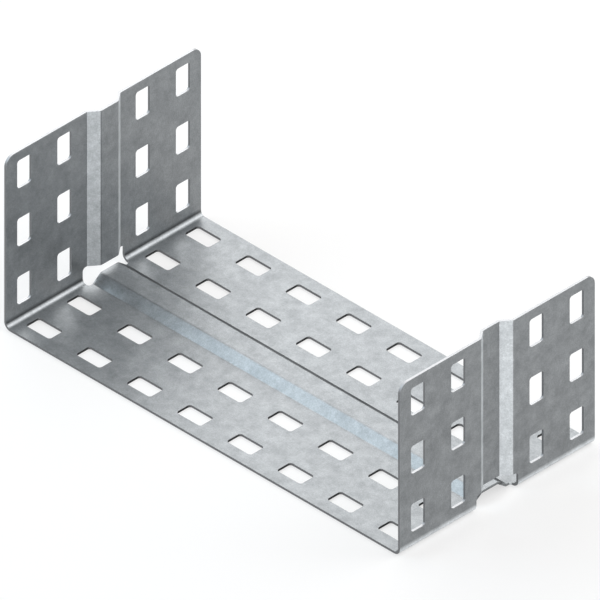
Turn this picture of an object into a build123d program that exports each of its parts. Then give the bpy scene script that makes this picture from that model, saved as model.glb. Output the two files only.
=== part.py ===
from build123d import *
from math import floor, radians, tan
import os

# Cable tray connector.
#
# One piece of sheet, folded up along both sides into a channel that sits inside the ends of two
# cable trays and is bolted to them through its slots. A trapezoid rib is pressed inwards at
# mid-length. It runs across the floor and up both walls, and breaks off at each fold, where a
# relief cut lets the sheet bend without crushing it.
#
# Millimetres. X runs across the tray, Y along it and Z up. The origin is at the middle of the
# underside.

# Overall sizes, outside to outside
connector_width = 197.0
connector_length = 97.0
wall_height = 73.6

# Sheet and folds
sheet = 1.0
fold_radius = 2.0             # inside of the fold between floor and wall
wall_corner_radius = 4.0      # free corners at the top of the walls

# Slots, all from one punch: long side across the tray in the floor, upright in the walls
slot_length = 12.0
slot_width = 7.0
slot_corner_radius = 1.2
slot_step = 20.0              # along the run, one behind the other
slot_end_margin = 9.0         # from the connector's end to the middle of the nearest slots
floor_column_pitch = 25.0
wall_row_pitch = 25.0
wall_top_margin = 10.0        # from the wall's top edge to the middle of the top slots
slot_clearance = 1.0          # least flat sheet between a slot and a fold or a relief cut

# Rib
rib_depth = 3.1
rib_groove_width = 8.0        # flat bottom of the groove that the rib leaves outside
rib_flank_angle = 37.5        # between the rib's sloping sides and the flat sheet
rib_bend_radius = 0.5         # inside of each of the rib's bends

# Relief cut across the fold at each end of the rib
relief_land = 1.85            # flat sheet between the rib's foot and the side of the cut
relief_past_fold = 0.9        # how far the cut reaches over the flat of the floor
relief_headroom = 3.0         # from the top of the floor's rib to the foot of the wall's rib
relief_wall_radius = 1.5
relief_floor_radius = 1.2
strip_land = 0.3              # flat margin by which a ribbed strip joins the sheet beside it

# Places that follow from them
half_width = connector_width / 2
half_length = connector_length / 2
mid_sheet = sheet / 2
fold_top = sheet + fold_radius
rib_top = sheet + rib_depth
relief_wall_foot = rib_top + relief_headroom
relief_floor_end = half_width - fold_top - relief_past_fold

# Corners of the rib's section at the middle of the sheet, before its bends are rounded
bend_angle = radians(rib_flank_angle)
bend_radius = rib_bend_radius + mid_sheet
crown_half = rib_groove_width / 2 + mid_sheet * tan(bend_angle / 2)
foot_half = crown_half + rib_depth / tan(bend_angle)
rib_half = foot_half + bend_radius * tan(bend_angle / 2)
strip_half = rib_half + strip_land
relief_half = rib_half + relief_land

# As many slots as fit: across the floor, up a wall, and along the run on each side of the rib
floor_span = 2 * (half_width - fold_top - slot_clearance) - slot_length
floor_columns = 1 + floor(floor_span / floor_column_pitch)
wall_span = wall_height - wall_top_margin - slot_length / 2 - fold_top - slot_clearance
wall_rows = 1 + floor(wall_span / wall_row_pitch)
end_span = half_length - slot_end_margin - slot_width / 2 - relief_half - slot_clearance
slots_per_end = 1 + floor(end_span / slot_step)

# Middle of the group of slots at each end, along the run and up the wall
end_group_middle = half_length - slot_end_margin - slot_step * (slots_per_end - 1) / 2
wall_group_middle = wall_height - wall_top_margin - wall_row_pitch * (wall_rows - 1) / 2

# Long enough to cut through from the middle to beyond either wall
through = half_width + sheet


def strip_section():
    """The strip of sheet that carries the rib: first axis along the run, second axis inwards."""
    with BuildLine() as path:
        FilletPolyline(
            (-strip_half, mid_sheet),
            (-foot_half, mid_sheet),
            (-crown_half, mid_sheet + rib_depth),
            (crown_half, mid_sheet + rib_depth),
            (foot_half, mid_sheet),
            (strip_half, mid_sheet),
            radius=bend_radius,
        )
    trace(path.line, line_width=sheet)


with BuildPart() as connector:
    # Floor and both walls as one channel, with rounded corners at the top
    with BuildSketch(Plane.XZ) as channel_section:
        with BuildLine():
            FilletPolyline(
                (mid_sheet - half_width, wall_height),
                (mid_sheet - half_width, mid_sheet),
                (half_width - mid_sheet, mid_sheet),
                (half_width - mid_sheet, wall_height),
                radius=fold_radius + mid_sheet,
            )
        trace(line_width=sheet)
    extrude(amount=half_length, both=True)
    top_corners = connector.edges().filter_by(Axis.X).group_by(Axis.Z)[-1]
    fillet(top_corners, radius=wall_corner_radius)

    # Relief cuts, seen from below: across the folds and a little way into the floor
    with BuildSketch(Plane.XY) as floor_reliefs:
        with Locations((half_width, 0), (-half_width, 0)):
            RectangleRounded(
                2 * (half_width - relief_floor_end), 2 * relief_half, relief_floor_radius
            )
    extrude(amount=fold_top, mode=Mode.SUBTRACT)

    # Relief cuts, seen from the side: up to the foot of the rib in each wall
    with BuildSketch(Plane.YZ.offset(half_width), Plane.YZ.offset(-half_width)) as wall_reliefs:
        RectangleRounded(2 * relief_half, 2 * relief_wall_foot, relief_wall_radius)
    extrude(amount=2 * sheet, both=True, mode=Mode.SUBTRACT)

    # Room for the ribbed strips at mid-length
    with BuildSketch(Plane.XZ) as middle_band:
        Rectangle(2 * through, 2 * wall_height + sheet)
    extrude(amount=strip_half, both=True, mode=Mode.SUBTRACT)

    # Ribbed strip across the floor
    with BuildSketch(Plane.YZ) as floor_strip:
        strip_section()
    extrude(amount=relief_floor_end, both=True)

    # Ribbed strip up each wall
    for side in (1, -1):
        wall_face = Plane(
            origin=(side * half_width, 0, relief_wall_foot),
            x_dir=(0, side, 0),
            z_dir=(0, 0, 1),
        )
        with BuildSketch(wall_face) as wall_strip:
            strip_section()
        extrude(amount=wall_height - relief_wall_foot)

    # Floor slots
    with BuildSketch(Plane.XY) as floor_slots:
        with Locations((0, end_group_middle), (0, -end_group_middle)):
            with GridLocations(floor_column_pitch, slot_step, floor_columns, slots_per_end):
                RectangleRounded(slot_length, slot_width, slot_corner_radius)
    extrude(amount=sheet, mode=Mode.SUBTRACT)

    # Wall slots, through both walls at once
    with BuildSketch(Plane.YZ) as wall_slots:
        with Locations((end_group_middle, wall_group_middle), (-end_group_middle, wall_group_middle)):
            with GridLocations(slot_step, wall_row_pitch, slots_per_end, wall_rows):
                RectangleRounded(slot_width, slot_length, slot_corner_radius)
    extrude(amount=through, both=True, mode=Mode.SUBTRACT)

connector.part.label = "connector"

os.makedirs("parts", exist_ok=True)
export_step(connector.part, "parts/connector.step")
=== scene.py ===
"""Finish and studio for the cable tray connector.

The connector is one folded sheet, so its shape stays as the frame holds it. This script rounds the
sheet's cut edges, gives it its zinc finish, and sets it in a plain pale studio.

Lengths are metres in the part's own frame: X across the tray, Y along it, Z up, with the origin at
the middle of the underside.
"""

from math import cos, pi, radians, sin

import bpy
from bpy.props import FloatProperty, FloatVectorProperty, PointerProperty
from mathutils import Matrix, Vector


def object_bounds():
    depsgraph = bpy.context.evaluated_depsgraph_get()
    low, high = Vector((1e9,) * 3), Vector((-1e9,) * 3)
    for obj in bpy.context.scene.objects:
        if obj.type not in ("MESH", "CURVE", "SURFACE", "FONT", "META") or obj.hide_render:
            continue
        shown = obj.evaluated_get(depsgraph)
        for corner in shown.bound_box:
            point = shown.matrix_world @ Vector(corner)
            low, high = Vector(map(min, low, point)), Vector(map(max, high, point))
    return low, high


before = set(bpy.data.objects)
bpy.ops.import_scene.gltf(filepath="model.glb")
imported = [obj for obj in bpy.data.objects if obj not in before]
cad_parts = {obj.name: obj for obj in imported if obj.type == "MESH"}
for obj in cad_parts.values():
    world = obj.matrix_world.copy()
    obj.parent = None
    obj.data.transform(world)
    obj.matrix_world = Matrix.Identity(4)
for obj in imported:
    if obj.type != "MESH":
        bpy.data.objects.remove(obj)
CAD_LOW, CAD_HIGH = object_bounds()

bl_info = {
    "name": "Cable tray connector",
    "version": (1, 0, 0),
    "blender": (4, 5, 0),
    "location": "3D View > Sidebar > Connector",
    "description": "Zinc finish, cut edges and studio for a cable tray connector",
    "category": "Object",
}

MM = 0.001
SHEET_NODE = "connector"
CAD_MIDDLE = (CAD_LOW + CAD_HIGH) / 2

# Cleaning the solid's mesh before its cut edges are rounded
WELD_GAP = 0.001 * MM          # points nearer than this are one
FLAT_ANGLE = radians(0.5)      # faces that differ less than this are one flat
CUT_ANGLE = radians(30)        # edges sharper than this are cut edges
EDGE_SEGMENTS = 2

# Where the finish changes over the sheet, as a reach from the middle of the underside
FLOOR_TOP = 4.2 * MM           # just above the crown of the floor's rib
WALL_START = 94 * MM           # just inside the crowns of the walls' ribs
WALL_INSIDE = 97.6 * MM        # the walls' inner faces lie nearer than this
WALL_OUTSIDE = 98 * MM         # and their outer faces farther out than this
# A painted shade: a dark line inside each fold, where it runs into its wall
LINE_LOW = 2.0 * MM            # the dark line inside a fold fades in from here
LINE_FROM = 2.5 * MM           # is full from here
LINE_TO = 2.6 * MM             # to here
LINE_HIGH = 4.0 * MM           # and has faded out here
# A painted highlight on the outside of each fold
BEND_HIGH = 3.9 * MM           # outside, the fold starts to shine here
BEND_FULL = 2.2 * MM           # and shines fully here

# How much of a surface's direction lies along an axis
LEAN_START = 0.35              # below this it doesn't look that way
LEAN_FULL = 0.5                # above this it fully does

# Zinc, beside the settings in SheetFinish
CLOUD_DETAIL = 5.0             # finer patches in the dull ones
CLOUD_ROUGHNESS = 0.8
CLOUD_RANGE = (0.32, 0.68)     # noise between which dull zinc turns to clean
SPECK_DETAIL = 1.0
WEAR_DETAIL = 3.0
NOISE_ROUGHNESS = 0.5
NOISE_RANGE = (0.3, 0.7)       # holds nearly all values of a noise
SPECK_SWING = 0.09             # how much lighter or darker the specks are
WEAR_SWING = 0.05              # how much lighter or darker the worn patches are
ROUGHNESS_SWING = 0.03         # how much rougher or smoother they are
SPECK_HEIGHT = 0.05 * MM
SPECK_STRENGTH = 0.2
ZINC_GLANCE = 0.6              # how much the patina mirrors at a glancing angle
FLANK_GLANCE = 0.05            # and on the flanks of the floor's rib
# On cut faces bare steel is a painted highlight and a painted shade fills the rest
WALL_STEEL_HIGHLIGHT = 0.35              # least share of bare steel on the walls' cut faces
LENGTHWAYS_STEEL_HIGHLIGHT = 0.45        # and on every cut face that looks along the tray

# How the photograph frames the part
PHOTO_PIXELS = 600
PHOTO_PIXELS_PER_MM = 2.8414
PHOTO_CENTRE_X = 299.04        # pixel of the middle of the part's box
PHOTO_CENTRE_Y = 300.32
CAMERA_DISTANCE = 1.0
CAMERA_CLIP = (0.01, 20.0)

# Studio, beside the settings in Studio
FLOOR_HALF_WIDTH = 3.0
FLOOR_GAP = 0.05 * MM          # keeps the floor off the sheet's underside
CARD_ROUGHNESS = 0.9
WHITE = (1.0, 1.0, 1.0)
COOL = (0.79, 1.0, 1.14)
LAMP_DISTANCE = 1.0

# Name, azimuth and elevation in degrees, width and height in metres, radiance, and colour
LAMPS = (
    ("back_left_softbox", 228, 33, 0.75, 0.5, 2.2, WHITE),
    ("back_right_softbox", 150, 42, 0.9, 0.7, 2.9, WHITE),
    ("left_softbox", 272, 50, 0.5, 0.4, 2.0, WHITE),
    ("front_left_softbox", 315, 32, 0.6, 0.5, 3.45, COOL),
    ("low_strip", 62, 0.6, 0.6, 0.08, 24.0, WHITE),
)


def linear(colour):
    """An sRGB hex colour, such as #A0A4A6, as linear red, green and blue."""
    shares = [int(colour[i : i + 2], 16) / 255 for i in (1, 3, 5)]
    return tuple(s / 12.92 if s <= 0.04045 else ((s + 0.055) / 1.055) ** 2.4 for s in shares)


def add_node(tree, kind, inputs=None, **settings):
    """Adds a node with its settings. An input is a value, or the output it is linked from."""
    node = tree.nodes.new(kind)
    for name, value in settings.items():
        setattr(node, name, value)
    for name, value in (inputs or {}).items():
        if isinstance(value, bpy.types.NodeSocket):
            tree.links.new(value, node.inputs[name])
        else:
            node.inputs[name].default_value = value
    return node


def towards(azimuth, elevation):
    """Unit vector from the part towards an azimuth, 0 at the front, and an elevation."""
    return Vector((
        sin(azimuth) * cos(elevation),
        -cos(azimuth) * cos(elevation),
        sin(elevation),
    ))


class SheetFinish(bpy.types.PropertyGroup):
    """Sizes and colours of the galvanised sheet."""

    edge_radius: FloatProperty(
        name="Edge radius",
        description="Rounding that shearing and punching leave on every cut edge",
        default=0.1 * MM,
        unit="LENGTH",
        precision=5,
    )
    zinc: FloatVectorProperty(
        name="Zinc",
        description="Colour of the zinc where it is clean",
        default=linear("#989B9D"),
        subtype="COLOR",
    )
    dull_zinc: FloatVectorProperty(
        name="Dull zinc",
        description="Colour of the zinc where it has dulled in patches",
        default=linear("#808385"),
        subtype="COLOR",
    )
    # Bare steel, used as a painted highlight on cut faces that look up, brightest on the walls'
    # rims
    sheared_steel_highlight: FloatVectorProperty(
        name="Sheared steel",
        description="Colour of the bare steel on cut edges, brightest on the walls' rims",
        default=linear("#AFB0B2"),
        subtype="COLOR",
    )
    # Painted shade on the cut edges, darkest in the floor's slots
    slot_painted_shade: FloatVectorProperty(
        name="Slot grime",
        description="Colour of the grime on cut edges, thickest in the floor's slots",
        default=linear("#3A3B3C"),
        subtype="COLOR",
    )
    # Painted highlight on the flanks of the walls' ribs
    flank_highlight: FloatProperty(
        name="Flank gain",
        description="How much lighter the zinc is on the flanks of the walls' ribs",
        default=1.95,
        min=1.0,
    )
    flank_matt: FloatProperty(
        name="Flank roughness",
        description="How much rougher the flanks of the walls' ribs are",
        default=0.2,
        min=0.0,
        max=0.5,
        subtype="FACTOR",
    )
    # Painted highlight on the outsides of the folds
    bend_highlight: FloatProperty(
        name="Bend gain",
        description="How much lighter the zinc is on the rubbed outsides of the folds",
        default=2.7,
        min=1.0,
    )
    # Painted shade: how dark the line inside each fold is
    fold_line_shade: FloatProperty(
        name="Fold line",
        description="How light the zinc stays in the dark line where a fold runs into its wall",
        default=0.4,
        min=0.0,
        max=1.0,
        subtype="FACTOR",
    )
    cloud_size: FloatProperty(
        name="Cloud size",
        description="Width of the duller patches",
        default=5 * MM,
        unit="LENGTH",
        precision=5,
    )
    wear_size: FloatProperty(
        name="Wear size",
        description="Width of the broad patches in which the zinc is smoother or rougher",
        default=12 * MM,
        unit="LENGTH",
        precision=5,
    )
    grain_size: FloatProperty(
        name="Grain size",
        description="Width of the finest specks that show in the zinc",
        default=0.5 * MM,
        unit="LENGTH",
        precision=5,
    )
    roughness: FloatProperty(
        name="Roughness",
        description="Mean roughness of the zinc",
        default=0.42,
        min=0.0,
        max=1.0,
        subtype="FACTOR",
    )


class Studio(bpy.types.PropertyGroup):
    """Camera, floor and lamps."""

    camera_azimuth: FloatProperty(
        name="Camera azimuth",
        description="Where the camera stands, 0 from the front and positive to the right",
        default=radians(45),
        subtype="ANGLE",
    )
    camera_elevation: FloatProperty(
        name="Camera elevation",
        description="How high the camera stands",
        default=radians(35.264),
        subtype="ANGLE",
    )
    floor_colour: FloatVectorProperty(
        name="Floor",
        description="Colour of the floor and backdrop",
        default=linear("#F3F2F1"),
        subtype="COLOR",
    )
    floor_glow: FloatProperty(
        name="Floor glow",
        description="How far the floor is lightened to white where it is seen",
        default=0.6,
        min=0.0,
        max=1.0,
        subtype="FACTOR",
    )
    fill_light: FloatProperty(
        name="Fill light",
        description="Strength of the white surroundings as light on matt things",
        default=0.5,
        min=0.0,
    )


def fold_painted_light(tree, reach, in_wall, finish):
    """Zinc lightness round the folds: a painted shade line inside, a painted highlight outside."""
    risen, below, outside = (
        add_node(
            tree, "ShaderNodeMapRange", {"Value": reach[axis], "From Min": start, "From Max": end}
        ).outputs[0]
        for axis, start, end in (
            ("Z", LINE_LOW, LINE_FROM),
            ("Z", LINE_HIGH, LINE_TO),
            ("X", WALL_INSIDE, WALL_OUTSIDE),
        )
    )
    line = risen
    for mask in (below, in_wall):
        line = add_node(
            tree, "ShaderNodeMath", {0: line, 1: mask}, operation="MULTIPLY"
        ).outputs[0]
    # the painted shade line inside the fold
    line = add_node(
        tree, "ShaderNodeMapRange", {"Value": line, "To Min": 1.0, "To Max": finish.fold_line_shade}
    ).outputs[0]
    # the painted highlight on the fold's outside
    bend = add_node(
        tree,
        "ShaderNodeMapRange",
        {
            "Value": reach["Z"],
            "From Min": BEND_HIGH,
            "From Max": BEND_FULL,
            "To Min": 1.0,
            "To Max": finish.bend_highlight,
        },
    ).outputs[0]
    return add_node(tree, "ShaderNodeMix", {"Factor": outside, "A": line, "B": bend}).outputs[0]


def zinc_material(finish):
    """Hot-dip galvanised rolled steel, pressed and folded.

    A thin zinc skin over the rolled sheet: a half-glossy grey metal that blurs what it mirrors,
    with soft duller patches a few millimetres wide and fine specks. Its patina lets it mirror less
    at a glancing angle. The flanks of the walls' ribs are more matt and carry a painted highlight,
    the outsides of the folds carry a painted highlight, and a painted shade line runs inside each
    fold where it meets its wall. Cut edges mix bare steel, a painted highlight where the walls'
    look up, with a painted shade on the rest, darkest in the floor's slots.
    """
    material = bpy.data.materials.new("hot_dip_galvanised_rolled_steel")
    material.use_nodes = True
    tree = material.node_tree
    tree.nodes.clear()
    coordinates = add_node(tree, "ShaderNodeTexCoord").outputs

    # How far out and up a point is, whichever side of the middle, and which way its surface looks
    reach, facing = (
        add_node(tree, "ShaderNodeVectorMath", {0: vector}, operation="ABSOLUTE").outputs[0]
        for vector in (coordinates["Object"], coordinates["Normal"])
    )
    reach, facing = (
        add_node(tree, "ShaderNodeSeparateXYZ", {0: vector}).outputs for vector in (reach, facing)
    )
    in_wall = add_node(
        tree, "ShaderNodeMath", {0: reach["X"], 1: WALL_START}, operation="GREATER_THAN"
    ).outputs[0]
    in_floor = add_node(
        tree, "ShaderNodeMath", {0: reach["Z"], 1: FLOOR_TOP}, operation="LESS_THAN"
    ).outputs[0]
    wall_out, wall_lean, floor_up, floor_lean = (
        add_node(
            tree, "ShaderNodeMath", {0: facing[axis], 1: place}, operation="MULTIPLY"
        ).outputs[0]
        for axis, place in (("X", in_wall), ("Y", in_wall), ("Z", in_floor), ("Y", in_floor))
    )

    # The flanks of the ribs lean along the tray. The walls' are rougher and carry a painted
    # highlight, and the floor's mirror little at a glancing angle.
    flank_highlight, flank_matt, glance = (
        add_node(
            tree,
            "ShaderNodeMapRange",
            {
                "Value": lean,
                "From Min": LEAN_START,
                "From Max": LEAN_FULL,
                "To Min": flat,
                "To Max": flank,
            },
        ).outputs[0]
        for lean, flat, flank in (
            (wall_lean, 1.0, finish.flank_highlight),
            (wall_lean, 0.0, finish.flank_matt),
            (floor_lean, ZINC_GLANCE, FLANK_GLANCE),
        )
    )

    # The real specks are too fine to show in the render: these are as coarse as they need to be
    cloud, speck, wear = (
        add_node(
            tree,
            "ShaderNodeTexNoise",
            {
                "Vector": coordinates["Object"],
                "Scale": 1 / size,
                "Detail": detail,
                "Roughness": roughness,
            },
        ).outputs["Fac"]
        for size, detail, roughness in (
            (finish.cloud_size, CLOUD_DETAIL, CLOUD_ROUGHNESS),
            (finish.grain_size, SPECK_DETAIL, NOISE_ROUGHNESS),
            (finish.wear_size, WEAR_DETAIL, NOISE_ROUGHNESS),
        )
    )
    clean, speckled, worn, rough = (
        add_node(
            tree,
            "ShaderNodeMapRange",
            {
                "Value": noise,
                "From Min": noise_range[0],
                "From Max": noise_range[1],
                "To Min": middle - swing,
                "To Max": middle + swing,
            },
        ).outputs[0]
        for noise, noise_range, middle, swing in (
            (cloud, CLOUD_RANGE, 0.5, 0.5),
            (speck, NOISE_RANGE, 1.0, SPECK_SWING),
            (wear, NOISE_RANGE, 1.0, WEAR_SWING),
            (wear, NOISE_RANGE, finish.roughness, ROUGHNESS_SWING),
        )
    )
    skin = add_node(
        tree,
        "ShaderNodeMix",
        {"Factor": clean, "A": (*finish.dull_zinc, 1), "B": (*finish.zinc, 1)},
        data_type="RGBA",
    ).outputs["Result"]
    # Specks and worn patches vary the zinc's tone; the flank and fold factors add painted
    # highlight and painted shade
    for gain in (speckled, worn, flank_highlight, fold_painted_light(tree, reach, in_wall, finish)):
        skin = add_node(
            tree, "ShaderNodeVectorMath", {0: skin, "Scale": gain}, operation="SCALE"
        ).outputs[0]

    # Cut faces look neither out of a wall nor up from the floor. They mix bare steel, a painted
    # highlight where the walls' look up, with a painted shade that covers the rest, thinner in the
    # walls and where they look along the tray.
    sheet_face = add_node(
        tree, "ShaderNodeMath", {0: wall_out, 1: floor_up}, operation="MAXIMUM"
    ).outputs[0]
    cut = add_node(
        tree, "ShaderNodeMath", {0: sheet_face, 1: LEAN_START}, operation="LESS_THAN"
    ).outputs[0]
    wall_steel_highlight = add_node(
        tree,
        "ShaderNodeMapRange",
        {"Value": facing["Z"], "To Min": WALL_STEEL_HIGHLIGHT, "To Max": 1.0},
    ).outputs[0]
    wall_steel_highlight = add_node(
        tree, "ShaderNodeMath", {0: wall_steel_highlight, 1: in_wall}, operation="MULTIPLY"
    ).outputs[0]
    lengthways_steel_highlight = add_node(
        tree, "ShaderNodeMath", {0: facing["Y"], 1: LENGTHWAYS_STEEL_HIGHLIGHT}, operation="MULTIPLY"
    ).outputs[0]
    # share of the painted highlight against the painted shade
    steel = add_node(
        tree, "ShaderNodeMath", {0: wall_steel_highlight, 1: lengthways_steel_highlight}, operation="MAXIMUM"
    ).outputs[0]
    edge = add_node(
        tree,
        "ShaderNodeMix",
        {"Factor": steel, "A": (*finish.slot_painted_shade, 1), "B": (*finish.sheared_steel_highlight, 1)},
        data_type="RGBA",
    ).outputs["Result"]
    colour = add_node(
        tree, "ShaderNodeMix", {"Factor": cut, "A": skin, "B": edge}, data_type="RGBA"
    ).outputs["Result"]

    rough = add_node(
        tree, "ShaderNodeMath", {0: rough, 1: flank_matt}, operation="ADD"
    ).outputs[0]
    bump = add_node(
        tree,
        "ShaderNodeBump",
        {"Height": speck, "Strength": SPECK_STRENGTH, "Distance": SPECK_HEIGHT},
    ).outputs["Normal"]
    shader = add_node(
        tree,
        "ShaderNodeBsdfPrincipled",
        {
            "Base Color": colour,
            "Metallic": 1.0,
            "Roughness": rough,
            "Specular Tint": glance,
            "Normal": bump,
        },
    )
    add_node(tree, "ShaderNodeOutputMaterial", {"Surface": shader.outputs["BSDF"]})
    return material


def seen_directly(tree):
    """1 where a ray comes from the camera, also by way of metal or glass, and 0 elsewhere."""
    path = add_node(tree, "ShaderNodeLightPath").outputs
    mirrored = add_node(
        tree,
        "ShaderNodeMath",
        {0: path["Is Glossy Ray"], 1: path["Is Transmission Ray"]},
        operation="MAXIMUM",
    ).outputs[0]
    return add_node(
        tree, "ShaderNodeMath", {0: path["Is Camera Ray"], 1: mirrored}, operation="MAXIMUM"
    ).outputs[0]


def floor_material(studio):
    """Smooth matt white card.

    It scatters all light evenly and is lightened where it is seen, so that it reads as a plain
    white backdrop with a faint soft shadow.
    """
    material = bpy.data.materials.new("matt_white_card")
    material.use_nodes = True
    tree = material.node_tree
    tree.nodes.clear()
    card = add_node(
        tree,
        "ShaderNodeBsdfPrincipled",
        {"Base Color": (*studio.floor_colour, 1), "Roughness": CARD_ROUGHNESS},
    )
    white = add_node(tree, "ShaderNodeEmission", {"Strength": 1.0})
    share = add_node(
        tree,
        "ShaderNodeMath",
        {0: seen_directly(tree), 1: studio.floor_glow},
        operation="MULTIPLY",
    ).outputs[0]
    both = add_node(
        tree,
        "ShaderNodeMixShader",
        {0: share, 1: card.outputs["BSDF"], 2: white.outputs["Emission"]},
    )
    add_node(tree, "ShaderNodeOutputMaterial", {"Surface": both.outputs["Shader"]})
    return material


class CONNECTOR_OT_sheet(bpy.types.Operator):
    """Rounds the sheet's cut edges and gives it its zinc finish"""

    bl_idname = "connector.sheet"
    bl_label = "Finish the sheet"

    def execute(self, context):
        finish = context.scene.connector_finish
        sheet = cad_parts[SHEET_NODE]
        weld = sheet.modifiers.new("Weld", "WELD")
        weld.merge_threshold = WELD_GAP
        flats = sheet.modifiers.new("Flats", "DECIMATE")
        flats.decimate_type = "DISSOLVE"
        flats.angle_limit = FLAT_ANGLE
        edges = sheet.modifiers.new("Cut edges", "BEVEL")
        edges.width = finish.edge_radius
        edges.segments = EDGE_SEGMENTS
        edges.limit_method = "ANGLE"
        edges.angle_limit = CUT_ANGLE
        edges.loop_slide = False
        sheet.modifiers.new("Normals", "WEIGHTED_NORMAL")
        sheet.data.materials[0] = zinc_material(finish)
        return {"FINISHED"}


def add_lamp(name, azimuth, elevation, width, height, radiance, colour):
    """A soft rectangular lamp that faces the middle of the part."""
    light = bpy.data.lights.new(name, "AREA")
    light.shape = "RECTANGLE"
    light.size = width
    light.size_y = height
    light.color = colour
    light.energy = radiance * pi * width * height
    lamp = bpy.data.objects.new(name, light)
    away = towards(radians(azimuth), radians(elevation))
    lamp.location = CAD_MIDDLE + away * LAMP_DISTANCE
    lamp.rotation_euler = away.to_track_quat("Z", "Y").to_euler()
    bpy.context.scene.collection.objects.link(lamp)


class CONNECTOR_OT_studio(bpy.types.Operator):
    """Lays the floor, hangs the lamps and sets the camera at the photograph's angle"""

    bl_idname = "connector.studio"
    bl_label = "Build the studio"

    def execute(self, context):
        studio = context.scene.connector_studio
        scene = context.scene
        half = FLOOR_HALF_WIDTH
        corners = [(-half, -half, 0), (half, -half, 0), (half, half, 0), (-half, half, 0)]
        mesh = bpy.data.meshes.new("floor")
        mesh.from_pydata(corners, [], [(0, 1, 2, 3)])
        mesh.materials.append(floor_material(studio))
        floor = bpy.data.objects.new("floor", mesh)
        floor.location.z = -FLOOR_GAP
        scene.collection.objects.link(floor)

        world = bpy.data.worlds.new("studio")
        scene.world = world
        world.use_nodes = True
        tree = world.node_tree
        tree.nodes.clear()
        strength = add_node(
            tree,
            "ShaderNodeMapRange",
            {"Value": seen_directly(tree), "To Min": studio.fill_light, "To Max": 1.0},
        ).outputs[0]
        around = add_node(
            tree, "ShaderNodeBackground", {"Color": (*WHITE, 1), "Strength": strength}
        )
        add_node(tree, "ShaderNodeOutputWorld", {"Surface": around.outputs["Background"]})

        for lamp in LAMPS:
            add_lamp(*lamp)

        camera = bpy.data.cameras.new("camera")
        camera.type = "ORTHO"
        camera.ortho_scale = PHOTO_PIXELS / PHOTO_PIXELS_PER_MM * MM
        camera.clip_start, camera.clip_end = CAMERA_CLIP
        holder = bpy.data.objects.new("camera", camera)
        scene.collection.objects.link(holder)
        away = towards(studio.camera_azimuth, studio.camera_elevation)
        turn = away.to_track_quat("Z", "Y")
        middle_pixel = (PHOTO_PIXELS - 1) / 2
        right = (middle_pixel - PHOTO_CENTRE_X) / PHOTO_PIXELS_PER_MM * MM
        up = (PHOTO_CENTRE_Y - middle_pixel) / PHOTO_PIXELS_PER_MM * MM
        aim = CAD_MIDDLE + turn @ Vector((right, up, 0))
        holder.location = aim + away * CAMERA_DISTANCE
        holder.rotation_euler = turn.to_euler()
        scene.camera = holder

        scene.view_settings.view_transform = "Standard"
        return {"FINISHED"}


class CONNECTOR_PT_panel(bpy.types.Panel):
    """The connector's steps, in order"""

    bl_idname = "CONNECTOR_PT_panel"
    bl_label = "Cable tray connector"
    bl_space_type = "VIEW_3D"
    bl_region_type = "UI"
    bl_category = "Connector"

    def draw(self, context):
        self.layout.operator(CONNECTOR_OT_sheet.bl_idname)
        self.layout.operator(CONNECTOR_OT_studio.bl_idname)


CLASSES = (SheetFinish, Studio, CONNECTOR_OT_sheet, CONNECTOR_OT_studio, CONNECTOR_PT_panel)


def register():
    for cls in CLASSES:
        bpy.utils.register_class(cls)
    bpy.types.Scene.connector_finish = PointerProperty(type=SheetFinish)
    bpy.types.Scene.connector_studio = PointerProperty(type=Studio)


def unregister():
    del bpy.types.Scene.connector_studio
    del bpy.types.Scene.connector_finish
    for cls in reversed(CLASSES):
        bpy.utils.unregister_class(cls)


def main():
    register()
    bpy.ops.connector.sheet()
    bpy.ops.connector.studio()


if __name__ == "__main__":
    main()
